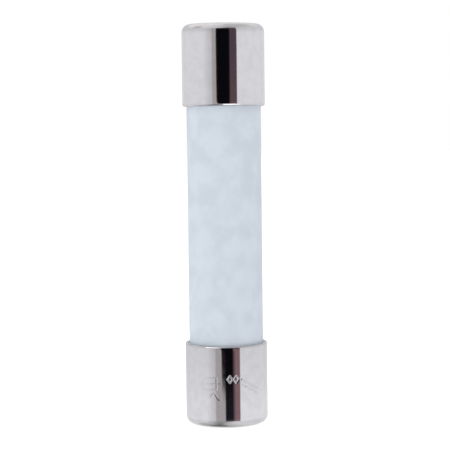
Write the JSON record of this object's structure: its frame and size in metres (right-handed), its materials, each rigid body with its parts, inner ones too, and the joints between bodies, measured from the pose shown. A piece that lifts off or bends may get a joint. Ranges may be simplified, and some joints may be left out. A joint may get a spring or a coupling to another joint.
{
  "type": "ceramic cartridge fuse",
  "caption": "Small ceramic cartridge fuse: a matte white ceramic tube between bright nickel-plated cylindrical end caps with flat contact faces, sand-filled round a wound fuse wire.",
  "frame": {"origin": "centre of the lower end cap's flat end face, on which the fuse stands", "axes": "+Z along the fuse from the lower to the upper cap; X and Y are alike, because the fuse is round, with the pictured side towards -Y"},
  "size_m": [0.0064, 0.0064, 0.0312],
  "materials": {
    "ceramic": "matte",
    "nickel": "polished",
    "cement": "matte",
    "solder": "satin",
    "fibre": "matte",
    "quartz_sand": "matte",
    "yarn": "matte",
    "tinned_copper": "polished"
  },
  "bodies": {
    "root": {"ceramic_tube": "ceramic", "upper_end_cap": "nickel", "lower_end_cap": "nickel", "upper_cap_cement": "cement", "lower_cap_cement": "cement", "upper_solder_joint": "solder", "lower_solder_joint": "solder", "upper_sealing_washer": "fibre", "lower_sealing_washer": "fibre", "sand_filler": "quartz_sand", "element_core": "yarn", "fuse_wire": "tinned_copper"}
  },
  "joints": []
}
